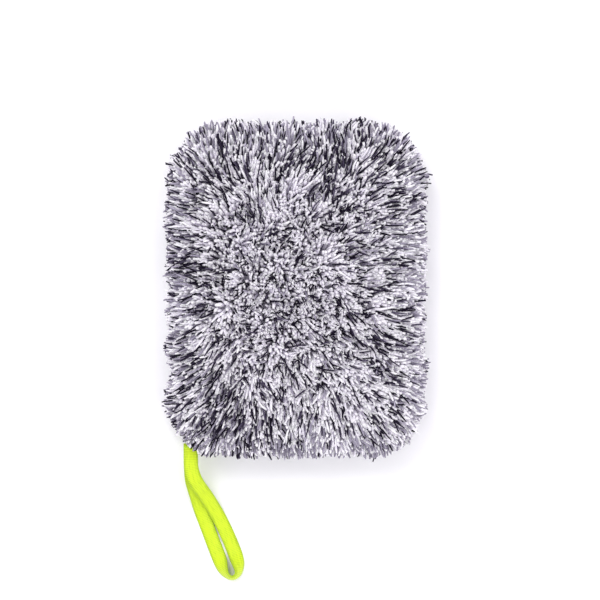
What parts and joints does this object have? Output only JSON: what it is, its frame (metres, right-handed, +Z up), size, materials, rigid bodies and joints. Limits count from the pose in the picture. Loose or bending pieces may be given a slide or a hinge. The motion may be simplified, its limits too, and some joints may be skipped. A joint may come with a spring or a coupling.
{
  "type": "wash mitt",
  "caption": "Deep-pile two-sided wash mitt with a foam-padded hand pocket open at one end and a ribbon hanging loop.",
  "frame": {"origin": "middle of the mitt on the surface it lies on, the hanging loop not counted", "axes": "+Z up from the palm side to the back side, +Y towards the closed fingertip end, the mouth faces -Y"},
  "size_m": [0.198, 0.3481, 0.0538],
  "materials": {
    "pile": "twisted microfibre pile, white and charcoal strands mixed",
    "ground_cloth": "knitted ground cloth",
    "foam": "open-cell foam",
    "lining": "smooth woven lining",
    "binding": "woven twill tape",
    "thread": "spun polyester thread",
    "ribbon": "fluorescent yellow-green ribbed ribbon",
    "loop_thread": "yellow-green thread"
  },
  "bodies": {
    "palm": {"palm_pile": "pile", "palm_cloth": "ground_cloth", "palm_foam": "foam", "palm_lining": "lining", "palm_cuff_binding": "binding", "palm_cuff_stitching": "thread", "seam_binding": "binding", "seam_stitching": "thread", "hang_loop_ends": "ribbon", "hang_loop_bartack": "loop_thread"},
    "back": {"back_pile": "pile", "back_cloth": "ground_cloth", "back_foam": "foam", "back_lining": "lining", "back_cuff_binding": "binding", "back_cuff_stitching": "thread"},
    "loop": {"hang_loop": "ribbon"}
  },
  "joints": [
    {"name": "mouth_open", "type": "hinge", "parent": "palm", "child": "back", "pos_m": [0, 0.112, 0.0224], "axis": [-1, 0, 0], "range_deg": [0, 8]},
    {"name": "loop_swing", "type": "hinge", "parent": "palm", "child": "loop", "pos_m": [-0.0796, -0.1322, 0.0224], "axis": [-1, 0, 0], "range_deg": [-60, 80]}
  ]
}
